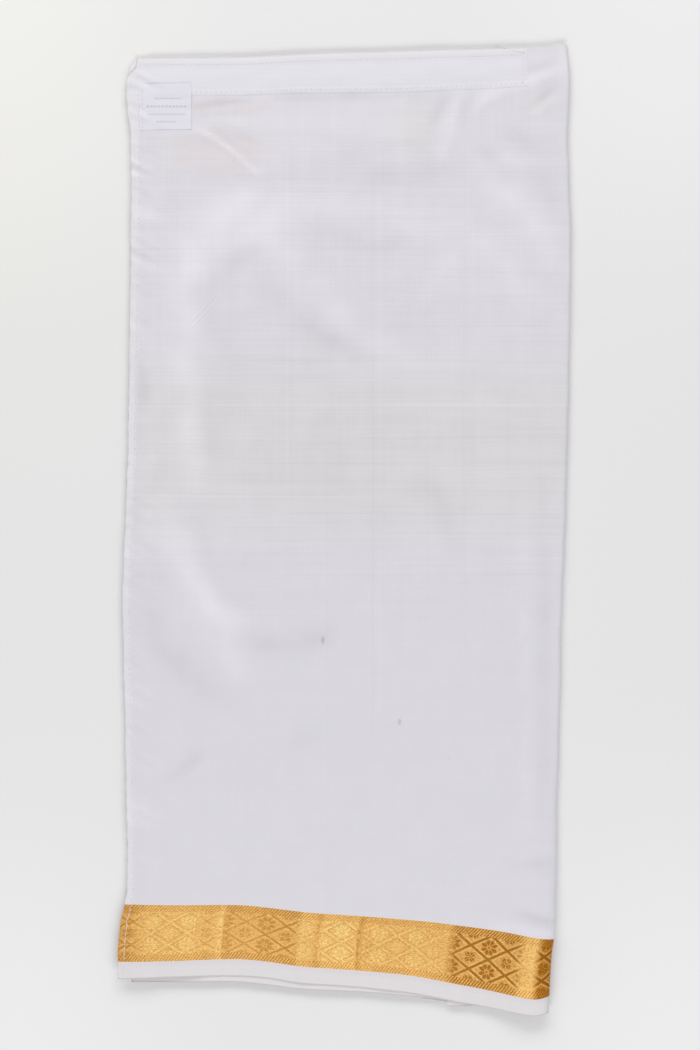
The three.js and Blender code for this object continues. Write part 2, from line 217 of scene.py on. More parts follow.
def read(rows, key, place, column):
    """A column of a table between its rows, along a smooth curve through them."""
    keys, values = rows[key], rows[column]
    place = np.clip(np.asarray(place, float), keys[0], keys[-1])
    low = np.clip(np.searchsorted(keys, place) - 1, 0, len(keys) - 2)
    high = low + 1
    before, after = np.maximum(low - 1, 0), np.minimum(high + 1, len(keys) - 1)
    span = keys[high] - keys[low]
    share = (place - keys[low]) / span
    slope_low = (values[high] - values[before]) / (keys[high] - keys[before])
    slope_high = (values[after] - values[low]) / (keys[after] - keys[low])
    square, cube = share**2, share**3
    return (
        (2 * cube - 3 * square + 1) * values[low]
        + (cube - 2 * square + share) * span * slope_low
        + (3 * square - 2 * cube) * values[high]
        + (cube - square) * span * slope_high
    )


def edge(name, across):
    return read(ACROSS_EDGES, "across", across, name)


def hem_side(y, column):
    wobble = 0.28 * smooth_noise(y, 0 * y, 15, 15, 21) if column == "x" else 0.0
    return read(HEM_SIDE, "y", y, column) + wobble


def fold_side(y, column):
    wobble = 0.22 * smooth_noise(y, 0 * y, 24, 24, 22) if column == "x" else 0.0
    return read(FOLD_SIDE, "y", y, column) + wobble


def bell(distance, width):
    return np.exp(-((distance / width) ** 2))


def ease(low, high, value):
    """0 below low, 1 above high, and a smooth step between."""
    share = np.clip((value - low) / (high - low), 0, 1)
    return share * share * (3 - 2 * share)


def mix(a, b, share):
    return a + (b - a) * share


NOISE_WAVES = 9
NOISE_TURN = 6.28       # about one full turn over each hill


def smooth_noise(x, y, size_x, size_y, seed):
    """Gentle random hills between about -1 and 1, of the given sizes."""
    rng = np.random.default_rng(seed)
    total = np.zeros(np.broadcast(x, y).shape)
    for _ in range(NOISE_WAVES):
        angle, phase = rng.uniform(0, 2 * math.pi, 2)
        pace = rng.uniform(0.6, 1.5)
        run = math.cos(angle) * x / size_x + math.sin(angle) * y / size_y
        total += np.sin(pace * run * NOISE_TURN + phase)
    return total / math.sqrt(NOISE_WAVES)


def to_line(x, y, stations):
    """Distance of each point from a line through the stations, and the nearest place on it, 0 to 1."""
    best = np.full(np.broadcast(x, y).shape, 1e9)
    place = np.zeros_like(best)
    spans = len(stations) - 1
    for index, (start, end) in enumerate(zip(stations, stations[1:])):
        run = np.subtract(end, start)
        share = np.clip(((x - start[0]) * run[0] + (y - start[1]) * run[1]) / (run @ run), 0, 1)
        far = np.hypot(x - start[0] - share * run[0], y - start[1] - share * run[1])
        nearer = far < best
        best = np.where(nearer, far, best)
        place = np.where(nearer, (index + share) / spans, place)
    return best, place


def rounded_line(stations, steps=6):
    """More stations along a smooth curve through the given ones."""
    points = np.array(stations, float)
    keys = np.arange(len(points), dtype=float)
    fine = np.linspace(0, keys[-1], steps * (len(points) - 1) + 1)
    curve = {"key": keys, "x": points[:, 0], "y": points[:, 1]}
    return list(zip(read(curve, "key", fine, "x"), read(curve, "key", fine, "y")))


# ---- the cloth's surface

FOLD_STRENGTH = 1.25    # what the lifts in CREASES are multiplied by
PUCKER = 0.55           # height of the puckers beside the hem's stitches
WAIST_SAG = 2.3         # how far the cloth sinks at its loose edges
HEM_SAG = 1.3
FOOT_SAG = 0.8
FOLD_LINES = [(lift, width, rounded_line(stations)) for lift, width, stations in CREASES]


def crease_height(x, y):
    """Lift of the creases and of the puckers that the hem's stitches make."""
    from_hem = x - hem_side(y, "x")
    puckers = smooth_noise(y + 0.5 * from_hem, 0.2 * x, 11, 60, 13) * smooth_noise(y, 0 * y, 40, 40, 15)
    total = PUCKER * puckers * bell(from_hem - 5, 13)
    for lift, width, line in FOLD_LINES:
        far, place = to_line(x, y, line)
        ends = 0.35 + 0.65 * np.sin(np.pi * np.clip(place, 0.02, 0.98)) ** 0.7
        total += FOLD_STRENGTH * lift * ends * bell(far, width)
    return total * (1 + 0.3 * smooth_noise(x, y, 36, 44, 16))


def edge_sag(x, y):
    """How far the cloth sinks towards its loose edges."""
    waist, foot = edge("waist", across_at(x, y)), edge("foot", across_at(x, y))
    at_foot = FOOT_SAG * bell(np.maximum(y - foot, 0), 12) * ease(-150, -60, x)
    at_waist = WAIST_SAG * bell(np.maximum(waist - y, 0), 12)
    return at_waist + HEM_SAG * bell(x - hem_side(y, "x"), 9) + at_foot


def across_at(x, y):
    start, end = hem_side(y, "x"), fold_side(y, "x")
    return np.clip((x - start) / (end - start), 0, 1)


def stack_height(x, y):
    """Height of the folded stack, with the swelling of the main fold."""
    crest_x = fold_side(y, "x") - fold_side(y, "roll")
    near = bell(np.minimum(x - crest_x, 0), ROLL_SPREAD)
    swelling = fold_side(y, "swell") * near + 0.25 * smooth_noise(y, 0 * y, 45, 45, 5) * near
    return STACK + swelling - edge_sag(x, y)


def front_height(x, y):
    """Height of the front's upper face."""
    free = ease(0, 14, fold_side(y, "x") - x)
    corner = CORNER["lift"] * bell(np.hypot(x - CORNER["x"], y - CORNER["y"]), CORNER["reach"])
    rolling = 0.16 * smooth_noise(x, y, 75, 95, 11) + 0.05 * smooth_noise(x, y, 22, 26, 12)
    foot_y = edge("foot", (x + 158) / 302)
    ripple = 0.3 * smooth_noise(x, 0 * x, 34, 30, 14) * bell(y - foot_y, 14)
    return stack_height(x, y) + corner + (rolling + ripple + crease_height(x, y)) * free


class Rows:
    """Rows across the cloth, at heights given by place across."""

    def __init__(self, height_at):
        self.height_at = height_at
        self.start = hem_side(height_at(0.0), "x")
        self.end = fold_side(height_at(1.0), "x")
        self.roll = fold_side(height_at(1.0), "roll")
        self.crest = self.end - self.roll

    def y_at(self, x):
        return self.height_at(np.clip((x - self.start) / (self.end - self.start), 0, 1))

    @staticmethod
    def spread(low, high, steps):
        """Evenly spaced places from low to high on every row."""
        return mix(low, high, np.linspace(0, 1, steps + 1))


def rows_between(low, high, count):
    share = np.linspace(0, 1, count + 1)[:, None]
    return Rows(lambda across: mix(edge(low, across), edge(high, across), share))


FRONT_COLUMNS = 134
FOLD_STEPS = 14         # faces round the main fold
LAP_STEPS = 3           # and under it


def front_grid(rows):
    """The front's points: over the top, round the main fold and a little way under."""
    x = rows.spread(rows.start, rows.crest, FRONT_COLUMNS)
    z = front_height(x, rows.y_at(x))
    angle = np.pi * (0.5 - np.arange(1, FOLD_STEPS + 1) / FOLD_STEPS)
    half = z[:, -1:] / 2
    around_x = rows.crest + rows.roll * np.cos(angle)
    around_z = half + half * np.sin(angle)
    lap_x = rows.spread(rows.crest, rows.crest - UNDER_LAP, LAP_STEPS)[:, 1:]
    x = np.concatenate([x, around_x, lap_x], axis=1)
    z = np.concatenate([z, around_z, np.zeros_like(lap_x)], axis=1)
    return np.stack([x, rows.y_at(x), z], -1)


# ---- meshes

def grid_faces(rows, columns, start=0, flip=False):
    at = start + np.arange(rows * columns).reshape(rows, columns)
    quads = np.stack([at[:-1, :-1], at[:-1, 1:], at[1:, 1:], at[1:, :-1]], -1).reshape(-1, 4)
    return quads[:, ::-1] if flip else quads


def make_piece(name, points, faces, places=None, rim_layer=None):
    """A mesh object from points in millimetres, riding on the root body. Edges whose two ends lie
    on the same rim are marked sharp, so that the sheet shades cleanly up to its edge."""
    mesh = bpy.data.meshes.new(name)
    mesh.from_pydata((np.asarray(points) * MM).tolist(), [], faces)
    mesh.shade_smooth()
    if places is not None:
        kept = mesh.attributes.new("cloth_place", "FLOAT_VECTOR", "POINT")
        kept.data.foreach_set("vector", np.asarray(places, np.float32).ravel())
    if rim_layer is not None:
        ends = np.empty(len(mesh.edges) * 2, np.int32)
        mesh.edges.foreach_get("vertices", ends)
        layers = rim_layer[ends.reshape(-1, 2)]
        sharp = (layers[:, 0] > 0) & (layers[:, 0] == layers[:, 1])
        mesh.attributes.new("sharp_edge", "BOOLEAN", "EDGE").data.foreach_set("value", sharp)
    piece = bpy.data.objects.new(name, mesh)
    bpy.context.scene.collection.objects.link(piece)
    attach(piece, "root")
    return piece


def sheet_normals(grid):
    along_columns = np.gradient(grid, axis=1)
    along_rows = np.gradient(grid, axis=0)
    normal = np.cross(along_columns, along_rows)
    return normal / np.maximum(np.linalg.norm(normal, axis=-1, keepdims=True), 1e-9)


def shell(name, grid, thickness, height_from=None):
    """A thin closed sheet with its upper face on the grid. Each point keeps its place on the cloth:
    how far it is from the sheet's first column, how far up the cloth, and how high its creases lift
    it there, in millimetres."""
    rows, columns, _ = grid.shape
    inner = grid - sheet_normals(grid) * thickness
    steps = np.linalg.norm(np.diff(grid, axis=1), axis=-1)
    around = np.concatenate([np.zeros((rows, 1)), np.cumsum(steps, axis=1)], axis=1)
    up = grid[..., 1] if height_from is None else height_from
    lift = crease_height(grid[..., 0], grid[..., 1])
    place = np.stack([around, up, lift], -1).reshape(-1, 3)
    under = rows * columns
    rim = np.concatenate([
        np.arange(columns),
        np.arange(1, rows) * columns + columns - 1,
        (rows - 1) * columns + np.arange(columns - 2, -1, -1),
        np.arange(rows - 2, 0, -1) * columns,
    ])
    following = np.roll(rim, -1)
    sides = np.stack([rim, rim + under, following + under, following], -1)
    faces = np.concatenate([grid_faces(rows, columns), grid_faces(rows, columns, under, True), sides])
    points = np.concatenate([grid.reshape(-1, 3), inner.reshape(-1, 3)])
    rim_layer = np.zeros(2 * under, int)
    rim_layer[rim], rim_layer[rim + under] = 1, 2
    return make_piece(name, points, faces.tolist(), np.concatenate([place, place]), rim_layer)


# ---- materials

def math_step(operation):
    """A method that takes a wire, and what it meets, through one math node."""
    def step(self, *others):
        return self.node(operation, *others)
    return step


class Wire:
    """A value on its way through a node tree, so that a pattern reads as plain arithmetic."""

    def __init__(self, tree, socket):
        self.tree, self.socket = tree, socket

    def node(self, operation, *others):
        made = self.tree.nodes.new("ShaderNodeMath")
        made.operation = operation
        for slot, value in zip(made.inputs, (self, *others)):
            join(self.tree, value, slot)
        return Wire(self.tree, made.outputs[0])

    __add__ = math_step("ADD")
    __sub__ = math_step("SUBTRACT")
    __mul__ = math_step("MULTIPLY")
    __truediv__ = math_step("DIVIDE")
    sine = math_step("SINE")
    size = math_step("ABSOLUTE")
    part = math_step("FRACT")
    floor = math_step("FLOOR")
    least = math_step("MINIMUM")
    most = math_step("MAXIMUM")

    def __neg__(self):
        return self * -1.0

    def wave(self, pitch):
        """A sine wave from -1 to 1 with the given pitch."""
        return (self * (2 * math.pi / pitch)).sine()

    def ribs(self, pitch):
        """The same wave from 0 to 1."""
        return self.wave(pitch) * 0.5 + 0.5

    def hypot(self, other):
        return (self * self + other * other).node("SQRT")

    def angle(self, other):
        return other.node("ARCTAN2", self)

    def ease(self, low, high):
        """0 at low and beyond, 1 at high and beyond, and a smooth step between."""
        made = self.tree.nodes.new("ShaderNodeMapRange")
        made.interpolation_type = "SMOOTHSTEP"
        for name, value in (("Value", self), ("From Min", low), ("From Max", high)):
            join(self.tree, value, made.inputs[name])
        return Wire(self.tree, made.outputs["Result"])

    def between(self, low, high, soft):
        """1 between low and high, fading over a soft width outside them."""
        return self.ease(low - soft, low) * self.ease(high + soft, high)


def join(tree, value, slot):
    if isinstance(value, Wire):
        tree.links.new(value.socket, slot)
    else:
        slot.default_value = value


class Paint:
    """A new material with the wires that its patterns start from."""

    def __init__(self, name, roughness, **uniform):
        self.material = bpy.data.materials.new(name)
        self.material.use_nodes = True
        self.tree = self.material.node_tree
        self.shader = self.tree.nodes["Principled BSDF"]
        self.shader.inputs["Roughness"].default_value = roughness
        for socket, value in uniform.items():
            self.shader.inputs[socket.replace("_", " ")].default_value = value

    def add(self, kind, **settings):
        made = self.tree.nodes.new(kind)
        for key, value in settings.items():
            setattr(made, key, value)
        return made

    def split(self, socket):
        parts = self.add("ShaderNodeSeparateXYZ")
        self.tree.links.new(socket, parts.inputs[0])
        return [Wire(self.tree, output) for output in parts.outputs]

    def place(self):
        """How far round the cloth, up the cloth and lifted off the layers below a point is."""
        attribute = self.add("ShaderNodeAttribute", attribute_name="cloth_place")
        return self.split(attribute.outputs["Vector"])

    def spot(self):
        """Where a point lies in the frame, in millimetres."""
        coordinates = self.add("ShaderNodeTexCoord").outputs["Object"]
        x, y, z = self.split(coordinates)
        return x * 1000.0, y * 1000.0, z * 1000.0

    def noise(self, x, y, size_x, size_y, detail, seed):
        """Noise from 0 to 1, with grains of the given sizes in the wires' units."""
        vector = self.add("ShaderNodeCombineXYZ")
        for slot, value in zip(vector.inputs, (x / size_x, y / size_y, seed)):
            join(self.tree, value, slot)
        made = self.add("ShaderNodeTexNoise")
        made.inputs["Scale"].default_value = 1.0
        made.inputs["Detail"].default_value = detail
        self.tree.links.new(vector.outputs[0], made.inputs["Vector"])
        return Wire(self.tree, made.outputs["Fac"])

    def hills(self, *sizes_and_seed):
        """The same noise, about -0.5 to 0.5."""
        return self.noise(*sizes_and_seed) - 0.5

    def ramp(self, value, stops):
        """A value read from a short list of (place, value) stops."""
        made = self.add("ShaderNodeValToRGB")
        made.color_ramp.interpolation = "LINEAR"
        elements = made.color_ramp.elements
        elements[1].position = 1.0
        for index, (position, level) in enumerate(stops):
            stop = elements[index] if index < 2 else elements.new(position)
            stop.position = position
            stop.color = (level, level, level, 1)
        join(self.tree, value, made.inputs["Fac"])
        return self.split(made.outputs["Color"])[0]

    def blend(self, first, second, share):
        """A colour between two colours, each a colour output or three numbers."""
        made = self.add("ShaderNodeMix", data_type="RGBA")
        join(self.tree, share, made.inputs[0])
        for slot, colour in ((made.inputs[6], first), (made.inputs[7], second)):
            if isinstance(colour, tuple):
                slot.default_value = (*colour, 1)
            else:
                self.tree.links.new(colour, slot)
        return made.outputs[2]

    def scale(self, colour, factor):
        """A colour made lighter or darker by a wire."""
        made = self.add("ShaderNodeVectorMath", operation="SCALE")
        self.tree.links.new(colour, made.inputs[0])
        join(self.tree, factor, made.inputs["Scale"])
        return made.outputs[0]

    def finish(self, colour, relief, depth_mm, roughness=None):
        """Links the colour and a relief of the given depth to the shader."""
        self.tree.links.new(colour, self.shader.inputs["Base Color"])
        bump = self.add("ShaderNodeBump")
        bump.inputs["Strength"].default_value = 1.0
        bump.inputs["Distance"].default_value = depth_mm * MM
        join(self.tree, relief, bump.inputs["Height"])
        self.tree.links.new(bump.outputs["Normal"], self.shader.inputs["Normal"])
        if roughness is not None:
            join(self.tree, roughness, self.shader.inputs["Roughness"])
        return self.material


WEAVE_PITCH = 0.72      # two threads of the cotton, wide enough to show in a picture of the whole
COTTON = (0.735, 0.722, 0.765)
COTTON_WARM = (0.715, 0.700, 0.705)
COTTON_PINK = (0.740, 0.690, 0.716)
HEM = (0.775, 0.760, 0.795)
SELVEDGE = (0.755, 0.730, 0.745)
SELVEDGE_BLUSH = (0.735, 0.690, 0.705)
SELVEDGE_EDGE_SHADE = (0.600, 0.545, 0.530)

# Painted light and shade of the creases, in part the paler look of thin cloth lifted off the layers
# below.
CREASE_PAINTED_SHADE = 0.063       # how much paler the cotton looks for each millimetre that it is lifted

# Thick weft threads that stand out alone: height up the cloth, the stretch that shows, and how much
# lighter the thread is than the cloth.
SLUB_LINES = [
    (86.8, -80, 156, 0.038), (84.2, 30, 150, -0.02), (22.4, -92, 16, 0.035), (64.0, 20, 150, -0.03),
    (46.0, -60, 150, -0.025), (10.5, -30, 156, -0.03), (-3.0, 40, 150, -0.03), (118.0, -60, 90, -0.02),
    (142.0, -40, 130, -0.025), (196.0, -130, 60, -0.02), (-32.0, -20, 120, -0.02),
    (236.0, -110, 20, -0.02),
]
# Warp lines: x, the stretch that shows, and how much lighter.
WARP_LINES = [
    (20.0, -120, 265, -0.03), (24.6, -120, 265, 0.02), (-40.0, 40, 250, 0.02), (-37.0, 40, 250, -0.02),
    (58.0, -60, 190, -0.015), (84.0, -40, 240, -0.015), (-12.0, -250, 60, -0.01),
]
# Pinkish and cream patches, where layers below show through: middle and half sizes.
BLUSHES = [(-88, 264, 40, 18), (-76, 295, 30, 7)]
WARM_PATCHES = [(50, 282, 19, 22), (136, 296, 12, 9)]
# Small grey marks: middle, half sizes and darkness.
MARKS = [(-15.0, -77.7, 1.4, 3.2, 0.22), (38.7, -135.0, 1.4, 2.5, 0.2), (73.3, -160.3, 1.2, 1.2, 0.06)]
# Fine wrinkles on the left leg of the arch, painted as light and shade only: middle and half sizes
# of their patch, how much it leans, and the slope and pitch of the wrinkles.
WRINKLE_PATCH = (-99.0, 150.0, 8.0, 17.0)
WRINKLE_LEAN, WRINKLE_SLANT, WRINKLE_PITCH = 0.45, 1.1, 4.3


def patch_distance(x, y, middle_x, middle_y, half_x, half_y):
    """Distance from a patch's middle, 1 on its oval outline."""
    return ((x - middle_x) / half_x).hypot((y - middle_y) / half_y)


def cotton_threads(paint, x, y):
    """Uneven threads of the cotton: the shade and the relief that they give."""
    slub_zone = y.between(-20, 262, 60) * 0.68 + 0.32
    warp_zone = y.ease(-140, 60) * 0.6 + 0.4
    bars = paint.hills(x, y, 95, 1.5, 3, 1.0)
    broad_bars = paint.hills(x, y, 160, 9, 2, 2.0)
    warps = paint.hills(x, y, 1.3, 120, 3, 3.0)
    broad_warps = paint.hills(x, y, 11, 260, 2, 4.0)
    shade = (bars * 0.105 + broad_bars * 0.07) * slub_zone
    shade = shade + (warps * 0.055 + broad_warps * 0.035) * warp_zone
    return shade, bars * slub_zone * 1.2 + warps * 0.5


def cotton_lines(x, y, shade):
    """The shade with the single thick threads added."""
    for height, left, right, lighter in SLUB_LINES:
        line = y.between(height - 0.35, height + 0.35, 0.7)
        shade = shade + line * x.between(left, right, 30) * lighter
    for place_x, low, high, lighter in WARP_LINES:
        line = x.between(place_x - 0.3, place_x + 0.3, 0.6)
        shade = shade + line * y.between(low, high, 40) * lighter
    return shade


def cotton_marks(paint, x, y, shade):
    """The shade with the small grey marks taken out of it."""
    for *oval, darkness in MARKS:
        edge_noise = paint.noise(x, y, 1.2, 1.2, 2, 6.0) * 0.5
        far = patch_distance(x, y, *oval) + edge_noise
        shade = shade - far.ease(1.6, 0.6) * darkness
    return shade


def painted_wrinkle_shade(x, y, cloudy):
    # Painted light and shade of the wrinkles, in slanting bands.
    across = y - x * WRINKLE_SLANT
    waves = (across * (2 * math.pi / WRINKLE_PITCH) + cloudy * 5.0).sine() + across.sine() * 0.3
    lean = (y - WRINKLE_PATCH[1]) * WRINKLE_LEAN
    near = patch_distance(x - lean, y, *WRINKLE_PATCH)
    return waves * near.ease(1.1, 0.6) * 0.028


def cotton_colour(paint, x, y, plain, warm, blush):
    """Plain cotton with the warm band across the middle and the patches near the waist."""
    warm_band = y.between(35, 80, 55) * (paint.noise(x, y, 60, 14, 2, 7.0) * 0.8 + 0.3)
    colour = paint.blend(plain, warm, warm_band)
    ragged = paint.noise(x, y, 10, 10, 3, 8.0) * 1.3 - 0.65
    for tint, patches, strength in ((blush, BLUSHES, 0.75), (warm, WARM_PATCHES, 0.5)):
        first, second = [(patch_distance(x, y, *oval) + ragged).ease(1.15, 0.55) for oval in patches]
        colour = paint.blend(colour, tint, first.most(second) * strength)
    return colour


def cotton_material(name, plain, warm, blush):
    paint = Paint(name, 0.6, Sheen_Weight=0.25, Sheen_Roughness=0.4)
    x, y, _ = paint.spot()
    _, up, lifted = paint.place()
    shade, relief = cotton_threads(paint, x, y)
    cloudy = paint.hills(x, y, 46, 60, 2, 5.0)
    mottled = paint.hills(x, y, 16, 21, 3, 9.0) * (y.ease(-200, 60) * 0.04 + 0.035)
    # Painted highlight on the creases' ridges and painted shade in their troughs, on top of the paler
    # look of thin cloth lifted off the layers below.
    shade = shade + cloudy * 0.035 + mottled + lifted.most(-1.5).least(1.8) * CREASE_PAINTED_SHADE
    shade = cotton_lines(x, y, shade)
    shade = cotton_marks(paint, x, y, shade)
    # The wrinkles' painted light and shade.
    shade = shade + painted_wrinkle_shade(x, y, cloudy)
    colour = cotton_colour(paint, x, y, plain, warm, blush)
    if name == "cotton_selvedge":
        colour = paint.blend(colour, SELVEDGE_BLUSH, up.ease(6.5, 11.0) * 0.9)
        # Painted shade: a thin darker line along the foot edge, where the cloth turns down.
        colour = paint.blend(colour, SELVEDGE_EDGE_SHADE, up.ease(0.9, 0.4))
        # Painted shade where it starts to turn round the main fold, away from the light.
        shade = shade - x.ease(139, 144) * 0.10
    # A plain weave: threads that go over and under each other in turn.
    threads = x.wave(WEAVE_PITCH) * y.wave(WEAVE_PITCH) * 0.5 + 0.5
    colour = paint.scale(colour, shade + 1.0 + (threads - 0.5) * 0.02)
    return paint.finish(colour, threads * 0.45 + relief, 0.07)


TAPE = (0.772, 0.756, 0.812)
TAPE_SHADE = (0.748, 0.734, 0.790)
TAPE_CREAM = (0.800, 0.760, 0.770)


def tape_material():
    """Twill tape, cream along its head and at its end, with painted light and shade along its seams."""
    paint = Paint("cotton_tape", 0.7, Sheen_Weight=0.2, Sheen_Roughness=0.4)
    x, y, _ = paint.spot()
    _, down, _ = paint.place()
    twill = (x - y * 0.9).ribs(1.1)
    bars = paint.hills(x, y, 60, 1.6, 3, 1.0)
    cloudy = paint.hills(x, y, 24, 12, 2, 2.0)
    colour = paint.blend(TAPE, TAPE_SHADE, twill * 0.5)
    cream = (down.ease(3.2, 1.4) + x.ease(TAPE_END - 2.6, TAPE_END - 1.6)).least(1.0)
    colour = paint.blend(colour, TAPE_CREAM, cream * 0.5)
    # Painted highlight on the ridge by the lower seam and painted shade below the upper seam.
    seam_light_and_shade = down.between(23.0, 25.0, 0.8) * 0.03 - down.between(4.0, 6.5, 1.2) * 0.025
    colour = paint.scale(colour, bars * 0.06 + cloudy * 0.04 + seam_light_and_shade + 1.0)
    return paint.finish(colour, twill * 0.5 + bars, 0.06)


# ---- the gold border

BORDER_HEIGHT = 40.6
SELVEDGE_HEIGHT = 12.0
BORDER_EDGE = 5.4       # depth of the twilled edge at the border's head and foot
TWILL_PITCH = 2.15
# The diamonds' width and height, where the first one starts, and how far the lattice is drawn towards
# the hem there.
LATTICE = {"width": 25.9, "height": 16.4, "phase": -0.1, "hem_shift": 4.2}
GOLD_GROUND = (0.950, 0.570, 0.185)
# Painted shade: the gold where the border lies in shade, on its darker stretches and round the main fold.
GOLD_SHADED = (0.610, 0.218, 0.006)
# Painted highlight: the gold of floats that catch the light.
GOLD_HIGHLIGHT = (1.000, 0.740, 0.285)
GOLD_DARK = (0.385, 0.138, 0.003)
# Painted light and shade: between the pressed lines the border turns to the light by different amounts,
# and each stretch gets its own painted brightness. Columns: place round the cloth, how dark the figure is
# against its ground, and how bright the ground is.
BORDER_LIGHT_ZONES = [
    (0, 0.50, 0.45), (6, 0.62, 0.62), (9, 0.60, 0.80), (16, 0.40, 0.84), (21, 0.22, 0.86),
    (50, 0.24, 0.88), (60, 0.50, 0.84), (67, 0.45, 0.88), (70, 0.15, 1.00), (73, 0.54, 0.72),
    (90, 0.52, 0.78), (98, 0.58, 0.74), (122, 0.64, 0.70), (126, 0.30, 0.86), (135, 0.28, 0.86),
    (138, 0.50, 0.72), (142, 0.18, 0.92), (165, 0.20, 0.90), (167, 0.62, 0.60), (171, 0.24, 0.80),
    (228, 0.28, 0.82), (236, 0.80, 0.52), (240, 0.76, 0.60), (244, 0.86, 0.62), (278, 0.86, 0.58),
    (283, 0.45, 0.96), (291, 0.35, 0.96), (296, 0.92, 0.12), (330, 0.90, 0.00),
]
ZONES_REACH = 340.0
WHOLE_DIAMONDS = 50.0   # added before a diamond's whole number is taken off, so that none is negative
# Petals of the two flowers: how many, how far turned, how far from the middle they start and end,
# half width, and the split down each.
LARGE_FLOWER = (8, math.pi / 8, 1.3, 6.4, 1.3, 0.0)
SMALL_FLOWER = (4, math.pi / 4, 0.7, 4.4, 1.65, 0.2)


def petals(along, up, count, turn, inner, outer, half_width, split):
    """Leaf-shaped petals round a middle, each split by a thin line where split is over 0."""
    far = along.hypot(up)
    slice_angle = 2 * math.pi / count
    turned = (along.angle(up) - turn) / slice_angle + 0.5 + count
    from_axis = (turned.part() - 0.5) * slice_angle
    out = far * from_axis.node("COSINE")
    off = (far * from_axis.sine()).size()
    share = ((out - inner) / (outer - inner)).most(0.0).least(1.0)
    width = (share * math.pi).sine() * half_width
    leaf = (width - off).ease(-0.12, 0.22)
    return leaf * off.ease(split - 0.1, split + 0.1) if split else leaf


def zari_figure(around, up, contrast):
    """The woven figure, 1 on its floats and 0 on the ground, the rims beside its lines, and the part
    of the border between its twilled edges."""
    shifted = around + around.ease(125, 65) * LATTICE["hem_shift"]
    run = (shifted - LATTICE["phase"]) / LATTICE["width"]
    rise = (up - BORDER_HEIGHT / 2) / LATTICE["height"]
    first, second = run + rise + WHOLE_DIAMONDS, run - rise + WHOLE_DIAMONDS
    first_part, second_part = first.part(), second.part()
    spacing = 1 / math.hypot(1 / LATTICE["width"], 1 / LATTICE["height"])
    off_middle = (first_part - 0.5).size().most((second_part - 0.5).size())
    near = (-off_middle + 0.5) * spacing
    line = (near / (contrast * 0.55 + 0.5)).ease(1.0, 0.7)
    rim = near.between(1.3, 1.9, 0.2)
    along = (first_part + second_part - 1.0) * (LATTICE["width"] / 2)
    rise_in = (first_part - second_part) * (LATTICE["height"] / 2)
    row = (first.floor() - second.floor()).size()
    is_large = row.between(0.9, 1.1, 0.2)
    large = petals(along, rise_in, *LARGE_FLOWER)
    small = petals(along, rise_in, *SMALL_FLOWER)
    heart = along.hypot(rise_in).between(0.35, 0.8, 0.15)
    flowers = large * is_large + small * (-is_large + 1.0) + heart * 0.8
    inside = up.between(BORDER_EDGE, BORDER_HEIGHT - BORDER_EDGE, 0.5)
    twill = (around - up * 0.75).wave(TWILL_PITCH).ease(0.05, 0.7)
    figure = (line + flowers).least(1.0) * inside + twill * (-inside + 1.0)
    return figure, rim * inside, inside


def zari_material():
    paint = Paint("zari_weave", 0.36, Metallic=0.35, Specular_IOR_Level=0.15)
    around, up, _ = paint.place()
    zone = around / ZONES_REACH
    contrast, bright = [
        paint.ramp(zone, [(row[0] / ZONES_REACH, row[column]) for row in BORDER_LIGHT_ZONES])
        for column in (1, 2)
    ]
    figure, rim, inside = zari_figure(around, up, contrast)
    threads = up.ribs(0.62)
    glint = paint.noise(around, up, 1.5, 0.9, 2, 1.0)
    patchy = paint.hills(around, up, 9, 7, 2, 2.0)
    # A float is painted darker than its ground where the contrast is high, and painted lighter, as a
    # highlight, where it is low.
    dark_share = (contrast - 0.3).most(0.0) * 1.55
    light_share = (-contrast + 0.42).most(0.0) * (glint * 1.6 + 1.2)
    # The ground's painted light and shade, from the stretches of the border.
    ground = paint.blend(GOLD_SHADED, GOLD_GROUND, bright)
    grainy = (glint * 1.3 + 0.38).least(1.0)
    colour = paint.blend(ground, GOLD_DARK, figure * dark_share * grainy)
    edges = -inside + 1.0
    colour = paint.blend(colour, GOLD_DARK, figure * edges * 0.45 + rim * light_share * 0.6)
    lit = figure * light_share * inside + rim * dark_share * 0.45
    colour = paint.blend(colour, GOLD_HIGHLIGHT, lit.least(1.0))
    level = bright * 0.30 + 0.78 + patchy * 0.22 + (glint - 0.5) * 1.35 + (threads - 0.5) * 0.10
    colour = paint.scale(colour, level)
    relief = figure * 0.8 + threads * 0.25 + glint * 0.5
    return paint.finish(colour, relief, 0.12, glint * 0.25 + 0.28)


THREAD = (0.86, 0.85, 0.88)
RED_THREAD = (0.76, 0.64, 0.55)
LABEL_WHITE = (0.778, 0.768, 0.830)
LABEL_SHADE = (0.748, 0.738, 0.802)
LABEL_DASH = (0.30, 0.29, 0.40)


def thread_material(name, colour):
    paint = Paint(name, 0.6)
    x, y, z = paint.spot()
    ply = (x + y + z).ribs(0.35)
    darker = tuple(value * 0.86 for value in colour)
    return paint.finish(paint.blend(colour, darker, ply), ply, 0.03)


def label_material():
    """White satin ribbon with four rows of plain faint dashes in place of lettering."""
    paint = Paint("label_satin", 0.38, Sheen_Weight=0.2)
    x, y, _ = paint.spot()
    rib = y.ribs(0.5)
    cloudy = paint.hills(x, y, 12, 9, 2, 1.0)
    colour = paint.blend(LABEL_WHITE, LABEL_SHADE, rib * 0.6)
    colour = paint.scale(colour, cloudy * 0.06 + 1.0)
    dashes = x * 0.0
    for row_y, left, right, pitch, weight in LABEL_ROWS:
        dash = ((x - left) / pitch).part().between(0.12, 0.72, 0.12)
        row = y.between(row_y - weight, row_y + weight, 0.25)
        dashes = dashes + row * x.between(left, right, 0.2) * dash
    colour = paint.blend(colour, LABEL_DASH, dashes * 0.34)
    return paint.finish(colour, rib * 0.4 - dashes, 0.04)


